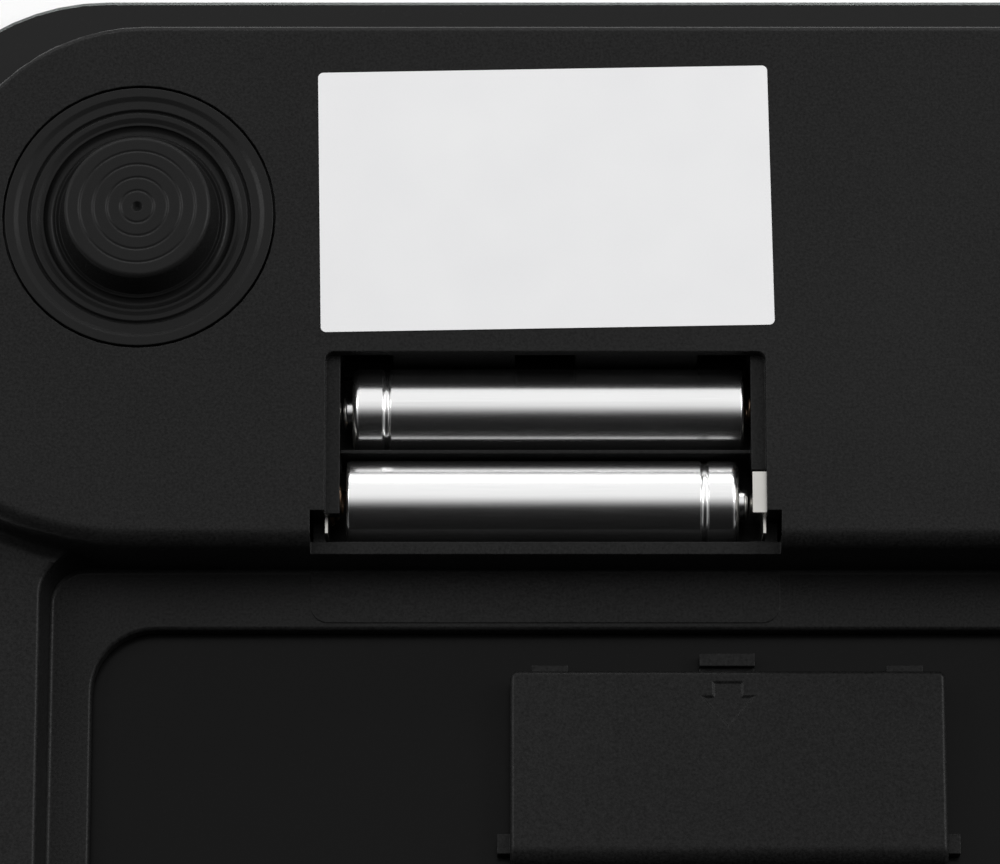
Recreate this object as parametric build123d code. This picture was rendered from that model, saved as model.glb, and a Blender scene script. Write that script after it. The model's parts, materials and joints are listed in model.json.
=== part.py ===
# A digital bathroom scale lying on its glass platform, underside up, with its battery door taken off.
# Millimetres. The origin is the centre of the platform's walking face, +Z points out of the underside,
# +Y towards the display end (the toes) and +X to the right as seen from above the underside.

import os
from math import cos, pi, sin

from build123d import *

# Glass platform
platform_side = 300.0
platform_thick = 5.0
platform_corner = 25.0
platform_bevel = 0.45
print_thick = 0.1
print_margin = 0.05
window_width = 56.0
window_depth = 22.0

# Base moulding
base_margin = 7.6
base_corner = 22.6
wall = 1.6
roof = 1.6
edge_round = 0.8
tape_thick = 0.4
tape_margin = 0.3
flange_thick = 2.0
rail_rise = 5.5
rail_width = 12.44
rail_slope = 8.0
rail_round = 0.6
rail_flare = 1.6
recess_corner = 4.0
flange_side = 4.7
flange_toe = 6.8
flange_round = 0.45
window_corner = 6.9
toe_depth = 59.8
heel_depth = 46.3
band_round = 2.1

# Battery bay, for two R03 cells side by side
bay_floor = 1.1
cell_dia = 9.6
cell_length = 44.2
cell_pitch = 10.5
cell_clear = 0.25
nub_dia = 3.6
nub_length = 1.0
can_shoulder = 0.9
can_round = 0.4
bead_place = 3.8
bead_radius = 0.55
bead_sink = 0.3
seal_radius = 3.0
seal_thick = 0.4
nub_gap = 0.3
button_rise = 1.3
button_radius = 2.0
spring_length = 2.0
door_gap = 0.9
near_wall = 1.4
ledge = 1.6
seat_corner = 0.9
socket_wall = 1.4
contact_thick = 0.3
contact_width = 8.4
contact_fold = 1.5
contact_ear = 4.6
contact_tail = 2.6
spring_wire = 0.5
spring_turns = 2
spring_base = 3.2
spring_tip = 1.2
divider_thick = 0.4
divider_over = 3.0
apron_rise = 0.08
apron_margin = 0.8
apron_corner = 2.0

# Battery door
door_clear = 0.2
sill_drop = 4.0
door_round = 0.55
door_corner = 0.8
tab_span = 39.2
tab_width = 4.0
tab_out = 1.0
tab_thick = 0.9
pocket_clear = 0.8
pocket_deep = 1.7
latch_deep = 2.8
pocket_tall = 9.0
hook_out = 1.4
hook_long = 2.2
hook_tall = 2.0
latch_width = 6.1
latch_leg = 0.75
latch_gap = 0.9
latch_hook = 0.7
latch_root = 0.45
latch_clear = 0.3
arrow_width = 6.2
arrow_length = 3.6
arrow_sink = 0.15
arrow_slope = 60.0
arrow_edge = 1.2
shaft_width = 3.4
shaft_length = 1.6
lay_right = 20.1
lay_apart = 11.7

# Feet and load sensors
foot_inset = 22.25
foot_radius = 14.85
foot_clear = 0.3
foot_lip = 1.5
foot_lip_thick = 1.8
foot_wall = 1.5
foot_rise = 3.6
boss_radius = 8.05
boss_base = 8.85
boss_round = 0.6
rim_edge = 13.9
step_edge = 11.45
step_run = 0.55
step_drop = 0.2
groove_radius = 12.2
groove_width = 0.45
groove_sink = 0.35
valley_edge = 10.6
valley_radius = 9.95
valley_sink = 0.6
crest_radius = 9.3
crest_sink = 0.16
tread_first = 1.83
tread_pitch = 1.52
tread_width = 0.4
tread_sink = 0.08
tread_count = 4
dimple_radius = 0.6
dimple_sink = 0.6
stem_radius = 3.5
foot_travel = 0.5
collar_clear = 0.5
collar_wall = 1.4
sensor_side = 28.0
sensor_corner = 3.0
sensor_thick = 2.0
sensor_frame = 4.0
sensor_slot = 1.6
tongue_width = 9.0
gauge_length = 5.0
gauge_width = 4.0
gauge_thick = 0.2
seat_tall = 4.6
seat_wall = 2.5

# Electronics behind the display window
board_inset = 29.4
board_side = 6.0
board_end = 2.0
board_thick = 1.6
board_rise = 4.9
small_corner = 1.0
screw_head = 1.9
screw_head_tall = 1.3
screw_shank = 0.95
screw_length = 6.0
screw_clear = 0.1
boss_wall = 1.6
lcd_border = 3.0
lcd_thick = 2.6
lcd_lift = 0.2
lcd_clear = 0.2
holder_wall = 2.8
zebra_width = 2.0
chip_side = 10.0
chip_tall = 1.2
capacitor_radius = 2.0
capacitor_tall = 4.2
socket_width = 5.0
socket_depth = 4.0
socket_tall = 3.2
socket_pitch = 7.0
cable_dia = 1.8
cable_toe_bend = 8.0
cable_rail_bend = 2.4
cable_straight = 12.0
cable_turn = 6.0
cable_slant = 34.0
lead_dia = 1.2
lead_rise = 3.6
lead_inset = 7.0
lead_room = 7.0
lead_step = 2.5
lead_pitch = 3.5

# Blank sticker
label_width = 50.0
label_depth = 30.0
label_thick = 0.1
label_corner = 0.6
label_inset = 20.2
label_turn = 1.0

# Heights above the floor and the plan lines that the pieces share
z_print = platform_thick + print_thick
z_seat = z_print + tape_thick
z_flange = z_seat + flange_thick
z_rail = z_flange + rail_rise
z_floor = z_seat + bay_floor
z_cell = z_floor + cell_clear + cell_dia / 2
z_ledge = z_cell + cell_dia / 2 + door_gap
z_band = z_ledge + roof
z_roof = z_band - roof
z_sill = z_band - sill_drop
z_sensor = z_print + seat_tall + sensor_thick
z_board = z_print + board_rise
base_half = platform_side / 2 - base_margin
lcd_width = window_width + 2 * lcd_border
lcd_depth = window_depth + 2 * lcd_border
holder_rim = 2 * (lcd_clear + holder_wall)
board_width = lcd_width + holder_rim + 2 * board_side
board_depth = lcd_depth + holder_rim + 2 * board_end
board_y = base_half - board_inset
screw_inset = board_side / 2
label_y = base_half - label_inset
rail_x = base_half - rail_width
toe_y = base_half - toe_depth
heel_y = heel_depth - base_half
foot_xy = base_half - foot_inset
toe_reach = foot_xy - toe_y
heel_reach = foot_xy + heel_y
window_x = rail_x - flange_side
window_toe = toe_y - flange_toe
window_heel = heel_y + flange_side
near_y = toe_y + near_wall
lower_y = near_y + cell_clear + cell_dia / 2
upper_y = lower_y + cell_pitch
far_y = upper_y + cell_dia / 2 + cell_clear
bay_y = (near_y + far_y) / 2
contact_room = nub_gap + button_rise + spring_length + 2 * contact_thick
socket_half = (cell_length + contact_room) / 2
pocket_half = socket_half - ledge
seat_half = socket_half
bay_x = -(board_width / 2 + lead_room + contact_tail + socket_wall + socket_half)
door_half = seat_half - door_clear
door_top = z_band
door_foot = z_sill + door_clear
door_edge = far_y - door_clear
door_x = bay_x + lay_right
door_far_y = toe_y - lay_apart
tab_half = tab_span / 2
UPRIGHT = (Align.CENTER, Align.CENTER, Align.MIN)
corners = {
    "toe_left": (-1, 1),
    "toe_right": (1, 1),
    "heel_left": (-1, -1),
    "heel_right": (1, -1),
}


def slab(width, depth, z0, z1, x=0.0, y=0.0, corner=0.0):
    """An upright block between two heights, with rounded corners if asked."""
    outline = RectangleRounded(width, depth, corner) if corner else Rectangle(width, depth)
    return Pos(x, y, z0) * extrude(outline, z1 - z0)


def span(x0, x1, y0, y1, z0, z1):
    """A plain box between six planes."""
    return slab(x1 - x0, y1 - y0, z0, z1, (x0 + x1) / 2, (y0 + y1) / 2)


def rod(radius, z0, z1, x=0.0, y=0.0):
    """An upright cylinder between two heights."""
    return Pos(x, y, z0) * extrude(Circle(radius), z1 - z0)


def tube_along(points, radius, bend):
    """A round wire along straight runs joined by tangent arcs."""
    path = FilletPolyline(*points, radius=bend)
    return sweep(Plane(path @ 0, z_dir=path % 0) * Circle(radius), path=path)


# The platform and what is stuck to it
def glass_platform():
    glass = slab(platform_side, platform_side, 0, platform_thick, corner=platform_corner)
    rims = glass.faces().filter_by(Axis.Z).edges()
    return chamfer(rims, platform_bevel)


def back_print():
    side = platform_side - 2 * (platform_bevel + print_margin)
    corner = platform_corner - platform_bevel - print_margin
    layer = slab(side, side, platform_thick, z_print, corner=corner)
    return layer - slab(window_width, window_depth, platform_thick, z_print, y=board_y)


def adhesive_tape():
    outer = 2 * (base_half - tape_margin)
    inner = 2 * (base_half - wall + tape_margin)
    rim = slab(outer, outer, z_print, z_seat, corner=base_corner - tape_margin)
    rim -= slab(inner, inner, z_print, z_seat, corner=base_corner - wall + tape_margin)
    frame = window_block(z_print, z_seat, -(flange_side - tape_margin), -(flange_toe - tape_margin))
    frame -= window_block(z_print, z_seat, -tape_margin, -tape_margin)
    return Compound([rim, frame])


def window_block(z0, z1, side_inset=0.0, toe_inset=0.0):
    """A block over the opening that shows the platform's back, drawn in by the given amounts."""
    x = window_x - side_inset
    y0, y1 = window_heel + side_inset, window_toe - toe_inset
    return slab(2 * x, y1 - y0, z0, z1, y=(y0 + y1) / 2, corner=window_corner)


# The base moulding
def band_plan(side, reach, inset=0.0):
    """Plan of a raised band, which runs along one end and curls round both feet."""
    length = 2 * (base_half - inset)
    outline = RectangleRounded(length, length, base_corner - inset)
    edge = foot_xy - reach + inset
    strip = Pos(0, side * (edge + base_half / 2)) * Rectangle(2 * foot_xy, base_half)
    for x in (-foot_xy, foot_xy):
        strip += Pos(x, side * foot_xy) * Circle(reach - inset)
    return outline & strip


def band(side, reach):
    """A raised band with its inner edge well rounded and its outer edge just broken."""
    block = Pos(0, 0, z_seat) * extrude(band_plan(side, reach), z_band - z_seat)
    rim = block.edges().group_by(Axis.Z)[-1]
    inner = rim.filter_by(lambda e: faces_inwards(e, side, reach))
    block = fillet(inner, band_round)
    rim = block.edges().filter_by(lambda e: on_base_wall(e, z_band))
    return fillet(rim, edge_round)


def faces_inwards(edge, side, reach):
    """True for the edges of a band that look over the recess or a rail."""
    if edge.geom_type == GeomType.CIRCLE:
        return abs(edge.radius - reach) < 1e-3
    middle = edge.position_at(0.5)
    return abs(side * middle.Y - (foot_xy - reach)) < 1e-3


def on_base_wall(edge, height):
    """True for edges at a height on the outer wall of the base."""
    low, middle = edge.bounding_box().min, edge.position_at(0.5)
    if abs(low.Z - height) > 1e-3 or abs(middle.Z - height) > 1e-3:
        return False
    if edge.geom_type == GeomType.CIRCLE:
        return abs(edge.radius - base_corner) < 1e-3
    return max(abs(middle.X), abs(middle.Y)) > base_half - 1e-3


def rails():
    """The low ring under both bands, with the recess cut down to the flange."""
    side = 2 * base_half
    ring = slab(side, side, z_seat, z_rail, corner=base_corner)
    rim = ring.edges().group_by(Axis.Z)[-1]
    ring = fillet(rim, edge_round)
    ring -= recess(z_rail - z_flange)
    return fillet(ring.edges().filter_by(on_recess_lip), rail_round)


def recess(height):
    """The sloped opening between the rails, from the flange up."""
    floor = RectangleRounded(2 * rail_x, toe_y - heel_y, recess_corner)
    return Pos(0, (toe_y + heel_y) / 2, z_flange) * extrude(floor, height, taper=-rail_slope)


def flares():
    """The soft foot of each band where it curls round onto a rail."""
    side = 2 * base_half
    limit = slab(side, side, z_seat, z_band, corner=base_corner) - recess(z_band - z_flange)
    rings = []
    for (sx, sy), reach in zip(corners.values(), (toe_reach, toe_reach, heel_reach, heel_reach)):
        low, high, out = z_rail - edge_round, z_rail + rail_flare, reach + rail_flare
        section = make_face(Curve() + [Plane.XZ * edge for edge in (
            Line((reach - wall / 2, low), (out, low)),
            Line((out, low), (out, z_rail)),
            CenterArc((out, high), rail_flare, 180, 90),
            Line((reach, high), (reach - wall / 2, high)),
            Line((reach - wall / 2, high), (reach - wall / 2, low)),
        )])
        rings.append(Pos(sx * foot_xy, sy * foot_xy) * revolve(section, Axis.Z) & limit)
    return rings


def on_window_lip(edge):
    """True for the upper edges round the opening that shows the platform's back."""
    box = edge.bounding_box()
    if box.max.Z - box.min.Z > 1e-3 or abs(box.min.Z - z_flange) > 1e-3:
        return False
    if edge.geom_type == GeomType.CIRCLE:
        return abs(edge.radius - window_corner) < 1e-3
    x, y = abs(edge.center().X), edge.center().Y
    return min(abs(x - window_x), abs(y - window_toe), abs(y - window_heel)) < 1e-3


def on_recess_lip(edge):
    """True for the edges round the top and the foot of the recess."""
    box = edge.bounding_box()
    level = box.max.Z - box.min.Z < 1e-3
    inside = max(abs(box.min.X), abs(box.max.X)) < base_half - rail_width / 2
    return level and inside and (abs(box.min.Z - z_rail) < 1e-3 or abs(box.min.Z - z_flange) < 1e-3)


def hollow():
    """The room under both bands and along both rails."""
    room = Pos(0, 0, z_seat) * extrude(band_plan(1, toe_reach, wall), z_roof - z_seat)
    room += Pos(0, 0, z_seat) * extrude(band_plan(-1, heel_reach, wall), z_roof - z_seat)
    for side in (-1, 1):
        x0, x1 = sorted((side * (rail_x + wall), side * (base_half - wall)))
        room += span(x0, x1, -foot_xy, foot_xy, z_seat, z_rail - roof)
    return room


def bay_block():
    """The walls and floor of the battery bay before it is hollowed."""
    half = socket_half + socket_wall
    back = far_y + latch_deep + socket_wall
    return span(bay_x - half, bay_x + half, near_y - near_wall / 2, back, z_seat, z_roof + roof / 2)


def apron():
    """A barely raised pad on the flange in front of the bay."""
    width = 2 * (seat_half + hook_out) + apron_margin
    y0, y1 = window_toe + apron_margin, toe_y + near_wall / 2
    pad = slab(width, y1 - y0, z_flange - flange_thick / 2, z_flange + apron_rise, bay_x, (y0 + y1) / 2)
    return fillet(pad.edges().filter_by(Axis.Z).group_by(Axis.Y)[0], apron_corner)


def bay_room():
    """Everything cut out of the battery bay: pocket, door seat, sill, catches and contact sockets."""
    top = z_band + 1
    room = span(bay_x - pocket_half, bay_x + pocket_half, near_y, far_y, z_floor, top)
    seat = far_y - near_y + 2 * seat_corner
    room += slab(2 * seat_half, seat, z_ledge, top, bay_x, far_y - seat / 2, seat_corner)
    sill_half = seat_half + hook_out + door_clear
    room += span(bay_x - sill_half, bay_x + sill_half, toe_y - 1, near_y, z_sill, top)
    for x in (-tab_half, tab_half):
        room += catch_pocket(bay_x + x, tab_width / 2 + pocket_clear, pocket_deep)
    room += catch_pocket(bay_x, latch_width / 2 + latch_clear, latch_deep)
    for side in (-1, 1):
        x0, x1 = sorted((bay_x + side * pocket_half, bay_x + side * sill_half))
        room += span(x0, x1, near_y, near_y + hook_long + 2 * door_clear, z_sill - hook_tall, top)
    left, right = bay_x - socket_half, bay_x + socket_half
    room += span(left, bay_x, near_y + cell_clear, far_y - cell_clear, z_floor, z_ledge - ledge)
    for y in (lower_y, upper_y):
        half = contact_width / 2 + cell_clear
        room += span(bay_x, right, y - half, y + half, z_floor, z_ledge - ledge)
        slot = contact_tail / 2 + door_clear
        room += span(right, right + 2 * socket_wall, y - slot, y + slot, z_cell - contact_thick, z_cell)
    half = contact_ear / 2 + door_clear
    return room + span(bay_x + pocket_half, right, lower_y - half, lower_y + half, z_floor, z_ledge)


def catch_pocket(x, half, deep):
    """A pocket in the far wall of the bay, under its lip."""
    return span(x - half, x + half, far_y, far_y + deep, z_ledge - pocket_tall, z_ledge)


def foot_places():
    """Plan places of the four feet."""
    return [(sx * foot_xy, sy * foot_xy) for sx, sy in corners.values()]


def screw_places():
    """Plan places of the four screws of the circuit board."""
    x = board_width / 2 - screw_inset
    y = board_depth / 2 - screw_inset
    return [(sx * x, board_y + sy * y) for sx in (-1, 1) for sy in (-1, 1)]


def base_housing():
    base = rails() + band(1, toe_reach) + band(-1, heel_reach) + flares()
    base -= hollow()
    base -= window_block(z_seat - 1, z_flange + 1)
    base = fillet(base.edges().filter_by(on_window_lip), flange_round)
    base += bay_block() + apron()
    for x, y in foot_places():
        collar = foot_radius + foot_lip + collar_clear
        base += rod(collar + collar_wall, z_sensor, z_roof + roof / 2, x, y)
        base -= rod(collar, z_sensor - 1, z_roof, x, y)
        base -= rod(foot_radius + foot_clear, z_roof - 1, z_band + 1, x, y)
    for x, y in screw_places():
        base += rod(screw_shank + boss_wall, z_board + board_thick, z_roof + roof / 2, x, y)
    drill = z_board + screw_length - screw_head_tall
    for x, y in screw_places():
        base -= rod(screw_shank + screw_clear, z_board, drill, x, y)
    base -= bay_room()
    back = (lower_y + upper_y) / 2
    base += span(bay_x - pocket_half, bay_x + pocket_half, back - divider_thick / 2,
                 back + divider_thick / 2, z_floor - bay_floor / 2, z_cell + divider_over)
    return base


def blank_label():
    sticker = slab(label_width, label_depth, 0, label_thick, corner=label_corner)
    return Pos(bay_x, label_y, z_band) * Rot(0, 0, label_turn) * sticker


# Feet and the load sensors under them
def foot_section():
    """Half section of a foot: a rim, steps down to a valley and the boss that stands on the floor."""
    top, under, low = z_band + foot_rise, z_roof - foot_lip_thick, z_sensor + foot_travel
    lip = foot_radius + foot_lip
    first, second = z_band - step_drop, z_band - 2 * step_drop
    outer = Polyline(
        (0, top), (0, low), (stem_radius, low), (stem_radius, top - foot_wall),
        (boss_radius - foot_wall, top - foot_wall), (boss_base - foot_wall, under), (lip, under),
        (lip, z_roof), (foot_radius, z_roof), (foot_radius, z_band), (rim_edge, z_band),
        (rim_edge - step_run, first), (groove_radius + groove_width / 2, first),
        (groove_radius, first - groove_sink), (groove_radius - groove_width / 2, first),
        (step_edge, first), (step_edge - step_run, second), (valley_edge, second),
    )
    valley = ThreePointArc((valley_edge, second), (valley_radius, second - valley_sink), (crest_radius, second))
    inner = Polyline((crest_radius, second), (boss_base, second - crest_sink), (boss_radius, top), (0, top))
    return make_face(Plane.XZ * (outer + valley + inner))


def tread(middle):
    """A ring cut with sloping sides into the top of the boss."""
    top, half = z_band + foot_rise, tread_width / 2
    notch = Polyline((middle - half, top), (middle + half, top), (middle, top - tread_sink), close=True)
    return revolve(make_face(Plane.XZ * notch), Axis.Z)


def foot():
    body = revolve(foot_section(), Axis.Z)
    rim = body.edges().filter_by(GeomType.CIRCLE).group_by(Axis.Z)[-1]
    body = fillet(rim, boss_round)
    for ring in range(tread_count):
        body -= tread(tread_first + ring * tread_pitch)
    top = z_band + foot_rise
    return body - Pos(0, 0, top - dimple_sink) * Cone(0, dimple_radius, dimple_sink, align=UPRIGHT)


def load_sensor(sy, x, y):
    """A steel plate whose middle tongue bends when the foot presses on it."""
    z0 = z_sensor - sensor_thick
    plate = slab(sensor_side, sensor_side, z0, z_sensor, corner=sensor_corner)
    inner = sensor_side - 2 * sensor_frame
    tongue_tip = sensor_side / 2 - sensor_frame - sensor_slot
    slot = slab(inner, inner, z0, z_sensor)
    root = -sensor_side / 2
    slot -= span(-tongue_width / 2, tongue_width / 2, root, tongue_tip, z0, z_sensor)
    return Pos(x, y, 0) * Rot(0, 0, 0 if sy > 0 else 180) * (plate - slot)


def strain_gauge(sy, x, y):
    centre = -(sensor_side / 2 - sensor_frame - gauge_length / 2)
    film = slab(gauge_width, gauge_length, z_sensor, z_sensor + gauge_thick, y=centre)
    return Pos(x, y, 0) * Rot(0, 0, 0 if sy > 0 else 180) * film


def sensor_seat(x, y):
    top = z_sensor - sensor_thick
    ring = slab(sensor_side, sensor_side, z_print, top, x, y, sensor_corner)
    inner = sensor_side - 2 * seat_wall
    return ring - slab(inner, inner, z_print, top, x, y)


# Electronics
def circuit_board():
    board = slab(board_width, board_depth, z_board, z_board + board_thick, y=board_y, corner=small_corner)
    for x, y in screw_places():
        board -= rod(screw_shank + screw_clear, z_board, z_board + board_thick, x, y)
    return board


def board_screws():
    screws = []
    for x, y in screw_places():
        head = rod(screw_head, z_board - screw_head_tall, z_board, x, y)
        shank = rod(screw_shank, z_board, z_board + screw_length - screw_head_tall - screw_clear, x, y)
        screws.append((head + shank).solid())
    return Compound(screws)


def lcd_panel():
    z0 = z_print + lcd_lift
    return slab(lcd_width, lcd_depth, z0, z0 + lcd_thick, y=board_y)


def lcd_holder():
    width, depth = lcd_width + holder_rim, lcd_depth + holder_rim
    frame = slab(width, depth, z_print, z_board, y=board_y, corner=small_corner)
    room = 2 * lcd_clear
    frame -= slab(lcd_width + room, lcd_depth + room, z_print + lcd_lift, z_board, y=board_y)
    return frame - slab(window_width, window_depth, z_print, z_board, y=board_y)


def zebra_strip():
    z0 = z_print + lcd_lift + lcd_thick
    y = board_y + lcd_depth / 2 - zebra_width
    return slab(window_width, zebra_width, z0, z_board, y=y)


def controller_chip():
    top = z_board + board_thick
    chip = slab(chip_side, chip_side, top, top + chip_tall, y=board_y, corner=small_corner)
    return chamfer(chip.edges().group_by(Axis.Z)[-1], chip_tall / 3)


def capacitors():
    top = z_board + board_thick
    places = [(chip_side, board_y + chip_side), (-chip_side, board_y + chip_side)]
    cans = [rod(capacitor_radius, top, top + capacitor_tall, x, y) for x, y in places]
    return Compound([can.solid() for can in cans])


def socket_place(sx, sy):
    """Plan place of the cable socket that serves one load sensor."""
    x = sx * (board_width / 2 - socket_depth / 2)
    return x, board_y + sy * socket_pitch / 2


def cable_sockets():
    top = z_board + board_thick
    blocks = []
    for sx, sy in corners.values():
        x, y = socket_place(sx, sy)
        blocks.append(slab(socket_depth, socket_width, top, top + socket_tall, x, y).solid())
    return Compound(blocks)


def sensor_cable(sx, sy):
    """The lead of one load sensor, held inside the base all the way to its socket on the board."""
    end_x, end_y = board_width / 2, socket_place(sx, sy)[1]
    end_z = z_board + board_thick + socket_tall / 2
    start_z = z_sensor - sensor_thick / 2
    near, edge = foot_xy - sensor_side / 2, foot_xy + sensor_side / 2
    if sy > 0:
        route = [(near, foot_xy, start_z), (near - cable_straight, foot_xy, start_z),
                 (near - cable_slant, end_y, end_z)]
        bend = cable_toe_bend
    else:
        rail = (edge + base_half - wall) / 2
        low = z_seat + 2 * cable_dia
        lane = near - 1.5 * cable_dia
        back = far_y + latch_deep + socket_wall + 3 * cable_dia
        route = [
            (edge, -near - cable_turn, start_z),
            (rail, -near - cable_turn, start_z),
            (rail, heel_y, low),
            (rail, toe_y + cable_toe_bend, low),
            (near + cable_turn, near - 2.5 * cable_dia, low),
            (lane, near - 2 * cable_dia, low),
            (lane, back, low),
            (near - cable_slant, back, end_z),
            (end_x + cable_turn, end_y, end_z),
        ]
        bend = cable_rail_bend
    route.append((end_x, end_y, end_z))
    return tube_along([(sx * x, y, z) for x, y, z in route], cable_dia / 2, bend)


# Batteries and their contacts
def cell_frame(y, side):
    """The middle of one cell, turned so that its nub points to the given side."""
    reach = socket_half - contact_thick - button_rise - nub_gap - cell_length / 2
    return Pos(bay_x + side * reach, y, z_cell) * Rot(0, side * 90, 0)


def cell_can(frame):
    """The steel can, with a rolled bead near its nub end and a well for the seal."""
    half = cell_length / 2
    end = half - nub_length
    can = Pos(0, 0, -half) * extrude(Circle(cell_dia / 2), cell_length - nub_length)
    rims = can.edges().filter_by(GeomType.CIRCLE).sort_by(Axis.Z)
    can = fillet(rims[-1], can_shoulder)
    can = fillet(can.edges().filter_by(GeomType.CIRCLE).sort_by(Axis.Z)[0], can_round)
    bead = Plane.XZ * Pos(cell_dia / 2 + bead_radius - bead_sink, end - bead_place) * Circle(bead_radius)
    well = Pos(0, 0, end - seal_thick) * extrude(Circle(seal_radius), 2 * seal_thick)
    return frame * (can - revolve(bead, Axis.Z) - well)


def cell_seal(frame):
    base = cell_length / 2 - nub_length - seal_thick
    ring = extrude(Circle(seal_radius), seal_thick) - extrude(Circle(nub_dia / 2), seal_thick)
    return frame * Pos(0, 0, base) * ring


def cell_cap(frame):
    base = cell_length / 2 - nub_length - seal_thick
    nub = extrude(Circle(nub_dia / 2), nub_length + seal_thick)
    return frame * Pos(0, 0, base) * fillet(nub.edges().group_by(Axis.Z)[-1], can_round)


def contact_plate(side, y, width):
    """A flat contact standing against the end wall of the bay."""
    wall_x = bay_x + side * socket_half
    x0, x1 = sorted((wall_x, wall_x - side * contact_thick))
    return span(x0, x1, y - width / 2, y + width / 2, z_floor, z_ledge - ledge - door_clear)


def contact_button(side, y):
    """The raised button that meets the nub of a cell."""
    wall_x = bay_x + side * (socket_half - contact_thick)
    cone = Cone(button_radius, button_radius / 2, button_rise, align=UPRIGHT)
    return Pos(wall_x, y, z_cell) * Rot(0, -side * 90, 0) * cone


def contact_tag(y):
    """A right-hand contact with its solder tag through the wall."""
    wall_x = bay_x + socket_half
    half = contact_tail / 2
    tag = span(wall_x - contact_thick, wall_x + socket_wall + contact_tail, y - half, y + half,
               z_cell - contact_thick, z_cell)
    return contact_plate(1, y, contact_width) + tag


def contact_bridge():
    plate = contact_plate(-1, bay_y, upper_y - lower_y + contact_width)
    return plate + contact_button(-1, upper_y)


def contact_positive():
    wall_x = bay_x + socket_half
    y0, y1 = lower_y - contact_ear / 2, lower_y + contact_ear / 2
    plate = contact_tag(lower_y) + contact_button(1, lower_y)
    plate += span(wall_x - contact_thick, wall_x, y0, y1, z_cell, z_ledge)
    return plate + span(wall_x - contact_fold, wall_x, y0, y1, z_ledge - contact_thick, z_ledge)


def contact_negative():
    return contact_tag(upper_y)


def biarc(start, leave, end, arrive):
    """Two arcs that join two points with the given directions there."""
    across = end - start
    total = leave + arrive
    bend = 2 * (1 - leave.dot(arrive))
    reach = across.dot(total)
    step = (-reach + (reach ** 2 + bend * across.dot(across)) ** 0.5) / bend
    middle = (start + end + (leave - arrive) * step) / 2
    first = TangentArc(start, middle, tangent=leave)
    second = TangentArc(end, middle, tangent=-arrive)
    return [first, second]


def spring(side, y):
    """A conical spring that narrows from the contact towards the flat end of a cell."""
    wall_x = bay_x + side * (socket_half - contact_thick)
    steps = 4 * spring_turns
    rise = spring_length - cell_clear - 2 * spring_wire

    def place(step):
        turn = pi / 2 * step
        radius = spring_base + (spring_tip - spring_base) * step / steps
        x = wall_x - side * (1.5 * spring_wire + rise * step / steps)
        return Vector(x, y + radius * cos(turn), z_cell + radius * sin(turn))

    def heading(step):
        return (place(step + 1e-4) - place(step - 1e-4)).normalized()

    back = heading(0) * 2 * spring_wire
    seat = Vector(wall_x, place(0).Y - back.Y, place(0).Z - back.Z)
    edges = biarc(seat, Vector(-side, 0, 0), place(0), heading(0))
    for step in range(steps):
        edges += biarc(place(step), heading(step), place(step + 1), heading(step + 1))
    edges.append(Line(place(steps), place(steps) + heading(steps) * spring_wire))
    path = Wire(edges)
    points = [path.position_at(k / 200) for k in range(201)]
    gaps = [(points[i] - points[j]).length for i in range(201) for j in range(i + 40, 201)]
    print("spring gap to itself", round(min(gaps) - spring_wire, 2))
    return sweep(Plane(path @ 0, z_dir=path % 0) * Circle(spring_wire / 2), path=path)


def battery_lead(y, lane_y, pad_y):
    """A short wire from a solder tag along a free lane to its pad on the board."""
    x0 = bay_x + socket_half + socket_wall + contact_tail
    x1 = lead_inset - board_width / 2
    top = z_board + board_thick
    over = top + lead_rise
    level = z_cell - contact_thick / 2
    points = [
        (x0, y, level),
        (x0 + lead_step, y, level),
        (x0 + 2 * lead_step, lane_y, over),
        (x1, lane_y, over),
        (x1, pad_y, over),
        (x1, pad_y, top),
    ]
    return tube_along(points, lead_dia / 2, lead_dia)


# Battery door, drawn in place over the bay and then laid on the platform's back
def door_section():
    """Side section of the door: a flat lid whose near edge turns down to the sill."""
    inner = toe_y + near_wall
    return make_face(Curve() + [
        Line((door_edge, door_top), (toe_y + band_round, door_top)),
        CenterArc((toe_y + band_round, door_top - band_round), band_round, 90, 90),
        Line((toe_y, door_top - band_round), (toe_y, door_foot)),
        Line((toe_y, door_foot), (inner, door_foot)),
        Line((inner, door_foot), (inner, z_ledge)),
        Line((inner, z_ledge), (door_edge, z_ledge)),
        Line((door_edge, z_ledge), (door_edge, door_top)),
    ])


def door_arrow():
    """A shallow arrow with sloping sides, sunk in the door's face, that points away from its far edge."""
    far = door_edge - arrow_edge
    neck = far - shaft_length
    shaft, half = shaft_width / 2, arrow_width / 2
    outline = Polyline(
        (-shaft, far), (-shaft, neck), (-half, neck), (0, neck - arrow_length), (half, neck), (shaft, neck),
        (shaft, far), close=True,
    )
    return Pos(bay_x, 0, door_top) * extrude(make_face(outline), -arrow_sink, taper=arrow_slope)


def battery_door():
    door = Pos(bay_x - door_half, 0, 0) * extrude(Plane.YZ * door_section(), door_half * 2, dir=(1, 0, 0))
    door = fillet(door.edges().filter_by(Axis.Z).group_by(Axis.Y)[-1], door_corner)
    door = fillet(door.edges().filter_by(on_door_rim), door_round)
    for x in (bay_x - tab_half, bay_x + tab_half):
        x0, x1 = x - tab_width / 2, x + tab_width / 2
        z1 = z_ledge - door_clear
        door += span(x0, x1, door_edge - 2 * tab_out, door_edge, z1 - tab_thick, z_ledge)
        door += span(x0, x1, door_edge - tab_out, door_edge + tab_out, z1 - tab_thick, z1)
    for side in (-1, 1):
        x0, x1 = sorted((bay_x + side * (door_half - hook_out), bay_x + side * (door_half + hook_out)))
        y0 = near_y + door_clear
        door += span(x0, x1, y0, y0 + hook_long, z_ledge - hook_tall, z_ledge)
    leg = latch_width / 2
    root = door_foot + 2 * latch_root + latch_clear
    door += span(bay_x - leg, bay_x + leg, door_edge - latch_leg, door_edge, root, z_ledge)
    return door_move() * (door - door_arrow())


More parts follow.
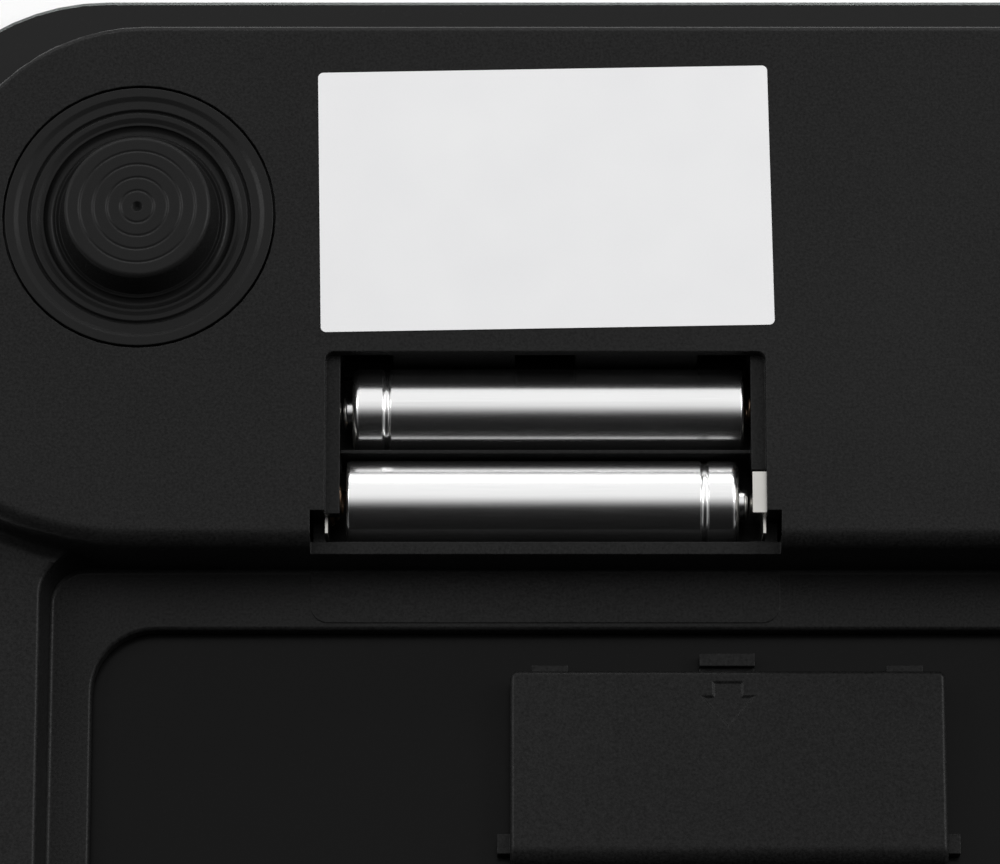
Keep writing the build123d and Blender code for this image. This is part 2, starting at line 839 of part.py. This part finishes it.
def on_door_rim(edge):
    """True for the outer edges of the door along its face, its bend and its turned-down lip."""
    box = edge.bounding_box()
    side = box.max.X - box.min.X < 1e-3 and abs(abs(box.min.X - bay_x) - door_half) < 1e-3
    lip = box.max.Y < toe_y + 1e-3
    bend = edge.geom_type == GeomType.CIRCLE and box.max.Y < toe_y + band_round + 1e-3
    far = box.min.Y > door_edge - door_corner - 1e-3
    face = box.min.Z > door_top - 1e-3
    return (side and (face or bend or lip)) or (far and face)


def door_latch():
    """A sprung leg that stands off the door's far edge and hooks under the lip of the bay."""
    half = latch_width / 2
    axis_y, axis_z = door_edge - latch_leg / 2, door_foot + latch_root
    root = Pos(bay_x - half, axis_y, axis_z) * Rot(0, 90, 0) * extrude(Circle(latch_root), latch_width)
    outer = door_edge + latch_gap
    top = z_ledge - door_clear
    leg = root + span(bay_x - half, bay_x + half, axis_y, outer + latch_leg, door_foot, axis_z + latch_root)
    leg += span(bay_x - half, bay_x + half, outer, outer + latch_leg, door_foot, top)
    leg += span(bay_x - half, bay_x + half, outer, outer + latch_leg + latch_hook, top - 2 * latch_hook, top)
    return door_move() * leg


def door_move():
    """From the door's closed place to where it lies."""
    return Pos(door_x - bay_x, door_far_y - door_edge, z_print - door_foot)


def save(name, shape):
    export_step(shape, f"parts/{name}.step")


os.makedirs("parts", exist_ok=True)
save("glass_platform", glass_platform())
save("back_print", back_print())
save("adhesive_tape", adhesive_tape())
save("base_housing", base_housing())
save("blank_label", blank_label())
foot_body = foot()
for name, (sx, sy) in corners.items():
    x, y = sx * foot_xy, sy * foot_xy
    save(f"foot_{name}", Pos(x, y, 0) * foot_body)
    save(f"load_sensor_{name}", load_sensor(sy, x, y))
    save(f"strain_gauge_{name}", strain_gauge(sy, x, y))
    save(f"sensor_seat_{name}", sensor_seat(x, y))
    save(f"sensor_cable_{name}", sensor_cable(sx, sy))
save("circuit_board", circuit_board())
save("board_screws", board_screws())
save("lcd_panel", lcd_panel())
save("lcd_holder", lcd_holder())
save("zebra_strip", zebra_strip())
save("controller_chip", controller_chip())
save("capacitors", capacitors())
save("cable_sockets", cable_sockets())
for name, y, side in (("upper", upper_y, -1), ("lower", lower_y, 1)):
    frame = cell_frame(y, side)
    save(f"{name}_cell_can", cell_can(frame))
    save(f"{name}_cell_seal", cell_seal(frame))
    save(f"{name}_cell_cap", cell_cap(frame))
save("contact_bridge", contact_bridge())
save("contact_positive", contact_positive())
save("contact_negative", contact_negative())
save("spring_left", spring(-1, lower_y))
save("spring_right", spring(1, upper_y))
pad_y = board_y - 2 * lead_pitch
save("battery_lead_positive", battery_lead(lower_y, lower_y, pad_y - 2 * lead_pitch))
save("battery_lead_negative", battery_lead(upper_y, pad_y - lead_pitch, pad_y))
save("battery_door", battery_door())
save("door_latch", door_latch())
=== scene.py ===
import json
import math

import bpy
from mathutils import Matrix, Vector


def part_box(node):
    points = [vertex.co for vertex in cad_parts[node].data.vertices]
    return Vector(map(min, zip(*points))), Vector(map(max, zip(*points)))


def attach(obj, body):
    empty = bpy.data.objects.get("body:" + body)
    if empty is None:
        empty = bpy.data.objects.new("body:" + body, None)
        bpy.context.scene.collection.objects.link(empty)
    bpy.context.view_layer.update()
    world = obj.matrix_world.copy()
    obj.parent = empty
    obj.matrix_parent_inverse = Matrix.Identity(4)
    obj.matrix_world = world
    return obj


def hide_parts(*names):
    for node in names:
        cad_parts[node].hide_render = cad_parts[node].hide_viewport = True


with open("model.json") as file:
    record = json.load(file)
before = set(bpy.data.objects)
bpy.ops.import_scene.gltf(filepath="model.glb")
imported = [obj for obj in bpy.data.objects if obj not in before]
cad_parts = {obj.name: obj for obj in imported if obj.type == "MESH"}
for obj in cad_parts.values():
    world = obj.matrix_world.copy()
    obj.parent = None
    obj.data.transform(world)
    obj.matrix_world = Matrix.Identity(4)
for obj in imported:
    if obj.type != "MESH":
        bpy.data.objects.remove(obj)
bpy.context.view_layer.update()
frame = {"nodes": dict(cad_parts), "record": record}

# The bathroom scale lies on its glass, underside up. Metres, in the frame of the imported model:
# +Z out of the underside, +Y towards the display end.
MM = 0.001

# Camera
IMAGE_WIDTH = 1000
FOCAL_PIXELS = 6000
SENSOR_MM = 36.0
CAMERA_TARGET = Vector((-80.2, 95.4, 19.0)) * MM
CAMERA_DISTANCE = 657.6 * MM
CAMERA_ELEVATION = math.radians(75.15)

# Light, where a brightness of 1 is white. The sky's brightness grows with the Y of a direction, and with
# its X to both sides. A soft box has its turn from +Y towards +X and its height above the floor, both in
# degrees, then its distance and size
SKY_END = {"From Min": -0.4, "From Max": 0.22, "To Min": 0.004, "To Max": 0.95}
SKY_SIDES = {"From Min": 0.4, "From Max": 0.85, "To Min": 0.0, "To Max": 0.3}
SOFT_BOXES = {
    "far_box": {"turn": 0, "height": 30, "distance": 0.7, "width": 0.81, "tall": 0.09, "bright": 4.6},
    "left_box": {"turn": -72, "height": 44, "distance": 0.8, "width": 0.3, "tall": 0.24, "bright": 4.2},
    "right_box": {"turn": 72, "height": 44, "distance": 0.8, "width": 0.4, "tall": 0.24, "bright": 6.2},
}
FLOOR_HALF = 10.0

# Ranges of a noise: where most of it lies, where the streaks of drawn metal lie, and nearly all of it
MIDDLE = (0.3, 0.7)
STREAKS = (0.25, 0.75)
WIDE = (0.2, 0.8)

# Edges of moulded pieces, the round corners of the housing's outline, and how far inside that outline the
# painted light on the print's bare margin fades out
MOULD_EDGE = 0.18 * MM
MOULD_EDGE_SAMPLES = 6
HOUSING_CORNER = 22.6 * MM
PAINTED_LIGHT_FADE = 1 * MM

# Nodes whose rounds are shaded evenly: over seams of this width, and up to this angle between two faces
ROUNDED_NODES = ("base_housing", "glass_platform")
SEAM = 0.001 * MM
SHARP_ANGLE = math.radians(40)

# Springs in the battery bay. Each narrows by the taper, and stops short of both ends by the inset, which
# is a share of its length
SPRING_WIRE = 0.5 * MM
SPRING_TURNS = 3
SPRING_STEPS = 24
SPRING_TAPER = 0.6
SPRING_INSET = 0.08
SPRING_ROUNDNESS = 5
SPRING_ORDER = 4


class Look:
    """A node material that is built up in small steps."""

    def __init__(self, name, rough=0.5, metal=0.0, specular=0.5):
        self.material = bpy.data.materials.new(name)
        self.material.use_nodes = True
        self.tree = self.material.node_tree
        self.shader = self.tree.nodes["Principled BSDF"]
        self.shader.inputs["Roughness"].default_value = rough
        self.shader.inputs["Metallic"].default_value = metal
        self.shader.inputs["Specular IOR Level"].default_value = specular
        self.place = self.tree.nodes.new("ShaderNodeTexCoord").outputs["Object"]

    def node(self, kind, values=None, **settings):
        """A new node with its settings and socket values."""
        made = self.tree.nodes.new(kind)
        for key, value in settings.items():
            setattr(made, key, value)
        for key, value in (values or {}).items():
            self.feed(made.inputs[key], value)
        return made

    def feed(self, socket, value):
        """Gives a socket either a link or a fixed value."""
        if isinstance(value, bpy.types.NodeSocket):
            self.tree.links.new(value, socket)
        else:
            socket.default_value = value

    def noise(self, size, detail=2.0, stretch=(1.0, 1.0, 1.0), rough=0.5):
        """Cloudy noise from 0 to 1, whose blotches are about the given size in metres."""
        scale = [s / size for s in stretch]
        spot = self.node("ShaderNodeMapping", {"Vector": self.place, "Scale": scale}).outputs["Vector"]
        values = {"Vector": spot, "Scale": 1.0, "Detail": detail, "Roughness": rough}
        return self.node("ShaderNodeTexNoise", values).outputs["Fac"]

    def maths(self, kind, *values):
        """One step of arithmetic on numbers."""
        return self.node("ShaderNodeMath", dict(enumerate(values)), operation=kind).outputs["Value"]

    def vectors(self, kind, *values, result="Vector"):
        """One step of arithmetic on vectors."""
        return self.node("ShaderNodeVectorMath", dict(enumerate(values)), operation=kind).outputs[result]

    def mix(self, first, second, share):
        """The given share of the first noise, and the rest of the second."""
        part = self.maths("MULTIPLY", first, share)
        rest = self.maths("MULTIPLY", second, 1.0 - share)
        return self.maths("ADD", part, rest)

    def spread(self, value, before, after):
        """Takes one range of values onto another."""
        values = {
            "Value": value,
            "From Min": before[0],
            "From Max": before[1],
            "To Min": after[0],
            "To Max": after[1],
        }
        return self.node("ShaderNodeMapRange", values).outputs["Result"]

    def colours(self, value, *stops):
        """A colour ramp with (place, colour) stops."""
        ramp = self.node("ShaderNodeValToRGB", {"Fac": value})
        points = ramp.color_ramp.elements
        while len(points) < len(stops):
            points.new(1.0)
        for point, (place, colour) in zip(points, stops):
            point.position = place
            point.color = (*colour, 1.0)
        return ramp.outputs["Color"]

    def shades(self, value, dark, light):
        """Two colours over the middle of a noise."""
        return self.colours(value, (MIDDLE[0], dark), (MIDDLE[1], light))

    def bump(self, height, depth, edge=0.0):
        """Raises the surface by up to the given depth in metres, over edges softened by a small radius."""
        values = {"Height": height, "Distance": depth, "Strength": 1.0}
        if edge:
            soft = self.node("ShaderNodeBevel", {"Radius": edge}, samples=MOULD_EDGE_SAMPLES)
            values["Normal"] = soft.outputs["Normal"]
        return self.node("ShaderNodeBump", values).outputs["Normal"]

    def set(self, **sockets):
        """Feeds the shader, with _ for the spaces in a socket's name, and gives the material."""
        for key, value in sockets.items():
            self.feed(self.shader.inputs[key.replace("_", " ")], value)
        return self.material


def grey(level):
    return (level, level, level)


# Materials
def moulded_plastic(name, dark, light, grain, depth, rough, specular, swing=0.06):
    """Moulded plastic or rubber with a spark texture, glossier on its lighter sparks, and slow changes of
    shade."""
    look = Look(name, specular=specular)
    sparks = look.noise(grain, detail=3.0, rough=0.65)
    clouds = look.noise(size=40 * MM)
    return look.set(
        Base_Color=look.shades(look.mix(sparks, clouds, share=0.8), dark, light),
        Roughness=look.spread(sparks, MIDDLE, (rough + swing, rough - swing)),
        Normal=look.bump(sparks, depth, MOULD_EDGE),
    )


def black_print():
    """Baked black print: even, with a faint orange peel, and painted lighter on the margin that the housing
    leaves bare, as painted light for the light that falls there."""
    look = Look("black_print", specular=0.1)
    peel = look.noise(size=1.6 * MM)
    clouds = look.noise(size=60 * MM)
    # How far a spot lies outside the square between the centres of the housing's round corners
    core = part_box("base_housing")[1].y - HOUSING_CORNER
    spot = look.vectors("ABSOLUTE", look.place)
    spot = look.vectors("SUBTRACT", spot, [core] * 3)
    spot = look.vectors("MAXIMUM", spot, [0.0] * 3)
    reach = look.vectors("LENGTH", spot, result="Value")
    # The haze here is painted light: the print is made lighter on the margin outside the housing, for the
    # light that falls there
    haze = look.spread(reach, before=(HOUSING_CORNER - PAINTED_LIGHT_FADE, HOUSING_CORNER), after=(0.0, 0.3))
    shade = look.maths("ADD", look.maths("MULTIPLY", clouds, 0.2), haze)
    return look.set(
        Base_Color=look.colours(shade, (0.05, grey(0.0026)), (0.15, grey(0.0034)), (0.4, grey(0.014))),
        Roughness=look.spread(peel, MIDDLE, (0.24, 0.28)),
        Normal=look.bump(peel, depth=0.0008 * MM),
    )


def clear_glass():
    """Clear tempered glass whose ground edges are frosted and slightly green."""
    look = Look("clear_glass")
    facing = look.node("ShaderNodeNewGeometry").outputs["Normal"]
    upright = look.node("ShaderNodeSeparateXYZ", {"Vector": facing}).outputs["Z"]
    frost = look.spread(look.maths("ABSOLUTE", upright), before=(0.75, 0.95), after=(1.0, 0.0))
    grind = look.noise(size=0.25 * MM, detail=3.0)
    return look.set(
        Base_Color=look.colours(frost, (0.0, (0.92, 0.97, 0.95)), (1.0, (0.62, 0.70, 0.67))),
        Roughness=look.maths("MULTIPLY", frost, look.spread(grind, WIDE, (0.28, 0.45))),
        Transmission_Weight=1.0,
        IOR=1.52,
    )


def white_film():
    """Matt white sticker film with a faint tooth."""
    look = Look("white_film", specular=0.25)
    tooth = look.noise(size=0.18 * MM, detail=4.0, rough=0.7)
    clouds = look.noise(size=9 * MM)
    shade = look.mix(tooth, clouds, share=0.4)
    return look.set(
        Base_Color=look.shades(shade, dark=(0.765, 0.765, 0.775), light=(0.80, 0.80, 0.805)),
        Roughness=look.spread(tooth, WIDE, (0.5, 0.62)),
        Normal=look.bump(tooth, depth=0.004 * MM),
    )


def bright_metal(name, dark, light, rough, along=(1.0, 1.0, 1.0), streak=6 * MM):
    """Metal with fine streaks, which the larger numbers of along make narrow, and a few clouded patches."""
    look = Look(name, metal=1.0)
    lines = look.noise(streak, detail=4.0, stretch=along, rough=0.6)
    clouds = look.noise(size=12 * MM)
    return look.set(
        Base_Color=look.shades(look.mix(lines, clouds, share=0.7), dark, light),
        Roughness=look.spread(lines, STREAKS, (rough * 0.9, rough * 1.1)),
        Normal=look.bump(lines, depth=0.0003 * MM),
    )


def soft_sheath(name, dark, light, rough=0.5, swing=0.05):
    """Flexible insulation, rubber, foam or film."""
    look = Look(name, specular=0.3)
    tooth = look.noise(size=0.3 * MM, detail=3.0)
    return look.set(
        Base_Color=look.shades(tooth, dark, light),
        Roughness=look.spread(tooth, MIDDLE, (rough - swing, rough + swing)),
        Normal=look.bump(tooth, depth=0.01 * MM),
    )


def solder_mask():
    """Green circuit board with raised tracks under the mask."""
    look = Look("solder_mask")
    pitch = 3 * MM
    spot = look.node("ShaderNodeMapping", {"Vector": look.place, "Scale": [1 / pitch] * 3})
    values = {"Vector": spot.outputs["Vector"], "Scale": 1.0, "Mortar Size": 0.06}
    tracks = look.node("ShaderNodeTexBrick", values).outputs["Fac"]
    tooth = look.noise(size=0.4 * MM)
    return look.set(
        Base_Color=look.colours(tracks, (0.0, (0.012, 0.085, 0.03)), (1.0, (0.03, 0.16, 0.06))),
        Roughness=look.spread(tooth, MIDDLE, (0.28, 0.4)),
        Normal=look.bump(tracks, depth=0.03 * MM),
    )


def display_glass():
    """Reflective liquid crystal, grey green with a fine electrode haze."""
    look = Look("display_glass")
    haze = look.noise(size=2.5 * MM)
    return look.set(
        Base_Color=look.shades(haze, dark=(0.30, 0.34, 0.28), light=(0.36, 0.40, 0.33)),
        Roughness=look.spread(haze, MIDDLE, (0.12, 0.2)),
    )


# The material of each slot in the record
LOOKS = {
    "black_plastic": moulded_plastic(
        "black_plastic", grey(0.003), grey(0.0155), grain=0.3 * MM, depth=0.026 * MM, rough=0.32,
        specular=0.115),
    "black_rubber": moulded_plastic(
        "black_rubber", grey(0.0075), grey(0.011), grain=0.2 * MM, depth=0.006 * MM, rough=0.3,
        specular=0.115),
    "white_plastic": moulded_plastic(
        "white_plastic", (0.70, 0.70, 0.68), (0.78, 0.78, 0.76), grain=0.4 * MM, depth=0.01 * MM, rough=0.45,
        specular=0.4),
    "black_resin": moulded_plastic(
        "black_resin", grey(0.012), grey(0.02), grain=0.2 * MM, depth=0.012 * MM, rough=0.55, specular=0.3),
    "black_print": black_print(),
    "clear_glass": clear_glass(),
    "white_sticker": white_film(),
    "bright_can": bright_metal("bright_can", grey(0.86), grey(0.93), rough=0.23, along=(1.0, 60.0, 60.0)),
    "nickel_plate": bright_metal(
        "nickel_plate", (0.55, 0.54, 0.51), (0.70, 0.69, 0.66), rough=0.3, along=(1.0, 1.0, 8.0)),
    "bronze_wire": bright_metal(
        "bronze_wire", (0.36, 0.24, 0.16), (0.50, 0.35, 0.24), rough=0.35, streak=1 * MM),
    "sensor_steel": bright_metal("sensor_steel", grey(0.42), grey(0.56), rough=0.4, along=(1.0, 30.0, 30.0)),
    "zinc_steel": bright_metal(
        "zinc_steel", (0.50, 0.50, 0.47), (0.64, 0.63, 0.58), rough=0.35, streak=1 * MM),
    "aluminium_can": bright_metal(
        "aluminium_can", grey(0.62), grey(0.74), rough=0.3, along=(30.0, 30.0, 1.0)),
    "gauge_film": soft_sheath("gauge_film", (0.50, 0.30, 0.08), (0.62, 0.40, 0.14), rough=0.3),
    "grey_insulation": soft_sheath("grey_insulation", grey(0.26), grey(0.34)),
    "red_insulation": soft_sheath("red_insulation", (0.42, 0.02, 0.015), (0.55, 0.035, 0.025)),
    "black_insulation": soft_sheath("black_insulation", grey(0.012), grey(0.02)),
    "grey_rubber": soft_sheath("grey_rubber", grey(0.2), grey(0.28), rough=0.7),
    "foam_tape": soft_sheath("foam_tape", grey(0.62), grey(0.74), rough=0.8),
    "green_board": solder_mask(),
    "display_glass": display_glass(),
}


def dress_nodes():
    """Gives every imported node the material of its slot."""
    for entry in frame["record"]["subparts"]:
        mesh = frame["nodes"][entry["node"]].data
        mesh.materials.clear()
        mesh.materials.append(LOOKS[entry["material_slot"]])


def even_rounds():
    """A node group that joins the seams between a solid's faces and shades over all but its sharp edges."""
    group = bpy.data.node_groups.new("even_rounds", "GeometryNodeTree")
    for way in ("INPUT", "OUTPUT"):
        group.interface.new_socket("Geometry", in_out=way, socket_type="NodeSocketGeometry")
    start = group.nodes.new("NodeGroupInput")
    plain = group.nodes.new("GeometryNodeRemoveAttribute")
    plain.inputs["Name"].default_value = "custom_normal"
    merge = group.nodes.new("GeometryNodeMergeByDistance")
    merge.inputs["Distance"].default_value = SEAM
    faces = group.nodes.new("GeometryNodeSetShadeSmooth")
    angle = group.nodes.new("GeometryNodeInputMeshEdgeAngle")
    limit = group.nodes.new("ShaderNodeMath")
    limit.operation = "LESS_THAN"
    limit.inputs[1].default_value = SHARP_ANGLE
    edges = group.nodes.new("GeometryNodeSetShadeSmooth")
    edges.domain = "EDGE"
    end = group.nodes.new("NodeGroupOutput")
    group.links.new(angle.outputs["Unsigned Angle"], limit.inputs[0])
    group.links.new(limit.outputs[0], edges.inputs["Shade Smooth"])
    chain = (start, plain, merge, faces, edges, end)
    for one, following in zip(chain, chain[1:]):
        group.links.new(one.outputs["Geometry"], following.inputs["Geometry"])
    return group


def shade_rounds():
    """Lets the flat faces of the housing and of the glass lead the shading of their rounds."""
    group = even_rounds()
    for node in ROUNDED_NODES:
        piece = frame["nodes"][node]
        piece.modifiers.new("even_rounds", "NODES").node_group = group
        weights = piece.modifiers.new("flat_faces_lead", "WEIGHTED_NORMAL")
        weights.mode = "FACE_AREA"
        weights.keep_sharp = True


def place(name, data):
    """A new object in the scene."""
    piece = bpy.data.objects.new(name, data)
    bpy.context.scene.collection.objects.link(piece)
    return piece


# Finer pieces
def spring(name, node, towards):
    """A conical wire spring from its contact to the flat end of a cell, which lies towards +X or -X."""
    low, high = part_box(node)
    middle = (low + high) / 2
    start, end = (low.x, high.x) if towards > 0 else (high.x, low.x)
    wide = (high.z - low.z) / 2 - SPRING_WIRE / 2
    curve = bpy.data.curves.new(name, "CURVE")
    curve.dimensions = "3D"
    curve.bevel_depth = SPRING_WIRE / 2
    curve.bevel_resolution = SPRING_ROUNDNESS
    line = curve.splines.new("NURBS")
    steps = SPRING_TURNS * SPRING_STEPS
    line.points.add(steps)
    for k, point in enumerate(line.points):
        part = k / steps
        turn = 2 * math.pi * SPRING_TURNS * part
        radius = wide * (1 - SPRING_TAPER * part)
        x = start + (end - start) * (SPRING_INSET + (1 - 2 * SPRING_INSET) * part)
        point.co = (x, middle.y + radius * math.cos(turn), middle.z + radius * math.sin(turn), 1.0)
    line.order_u = SPRING_ORDER
    line.use_endpoint_u = True
    curve.materials.append(LOOKS["bronze_wire"])
    piece = place(name, curve)
    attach(piece, "base")
    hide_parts(node)


# Stage
def floor():
    """A pale floor under the glass."""
    mesh = bpy.data.meshes.new("floor")
    corners = [(x * FLOOR_HALF, y * FLOOR_HALF, 0.0) for x, y in ((-1, -1), (1, -1), (1, 1), (-1, 1))]
    mesh.from_pydata(corners, [], [(0, 1, 2, 3)])
    look = Look("pale_floor", rough=0.8, specular=0.1)
    clouds = look.noise(size=600 * MM)
    mesh.materials.append(look.set(Base_Color=look.shades(clouds, dark=grey(0.96), light=grey(0.98))))
    place("floor", mesh)


def sky():
    """Soft light from the display end and from both sides, dim on the heel side."""
    world = bpy.data.worlds.new("studio")
    world.use_nodes = True
    nodes = world.node_tree.nodes
    links = world.node_tree.links
    split = nodes.new("ShaderNodeSeparateXYZ")
    links.new(nodes.new("ShaderNodeTexCoord").outputs["Generated"], split.inputs["Vector"])
    across = nodes.new("ShaderNodeMath")
    across.operation = "ABSOLUTE"
    links.new(split.outputs["X"], across.inputs[0])
    total = nodes.new("ShaderNodeMath")
    total.operation = "ADD"
    ways = ((split.outputs["Y"], SKY_END), (across.outputs[0], SKY_SIDES))
    for socket, (way, levels) in zip(total.inputs, ways):
        ramp = nodes.new("ShaderNodeMapRange")
        ramp.interpolation_type = "SMOOTHSTEP"
        links.new(way, ramp.inputs["Value"])
        for key, level in levels.items():
            ramp.inputs[key].default_value = level
        links.new(ramp.outputs["Result"], socket)
    links.new(total.outputs[0], nodes["Background"].inputs["Strength"])
    nodes["Background"].inputs["Color"].default_value = (1.0, 1.0, 1.0, 1.0)
    bpy.context.scene.world = world


def soft_box(name, turn, height, distance, width, tall, bright):
    """A rectangular lamp that faces the object."""
    lamp = bpy.data.lights.new(name, "AREA")
    lamp.shape = "RECTANGLE"
    lamp.size = width
    lamp.size_y = tall
    lamp.energy = math.pi * width * tall * bright
    turn = math.radians(turn)
    height = math.radians(height)
    level = math.cos(height)
    aim = Vector((math.sin(turn) * level, math.cos(turn) * level, math.sin(height)))
    piece = place(name, lamp)
    piece.location = CAMERA_TARGET + aim * distance
    piece.rotation_euler = aim.to_track_quat("Z", "Y").to_euler()


def camera():
    """The photograph's view, from the heel side and well above."""
    lens = bpy.data.cameras.new("camera")
    lens.sensor_fit = "HORIZONTAL"
    lens.sensor_width = SENSOR_MM
    lens.lens = SENSOR_MM * FOCAL_PIXELS / IMAGE_WIDTH
    back = Vector((0.0, -math.cos(CAMERA_ELEVATION), math.sin(CAMERA_ELEVATION)))
    piece = place("camera", lens)
    piece.location = CAMERA_TARGET + back * CAMERA_DISTANCE
    piece.rotation_euler = (math.pi / 2 - CAMERA_ELEVATION, 0.0, 0.0)
    bpy.context.scene.camera = piece


dress_nodes()
shade_rounds()
spring("wire_spring_left", "spring_left", 1)
spring("wire_spring_right", "spring_right", -1)
floor()
sky()
for name, setting in SOFT_BOXES.items():
    soft_box(name, **setting)
camera()
bpy.context.scene.view_settings.view_transform = "Standard"
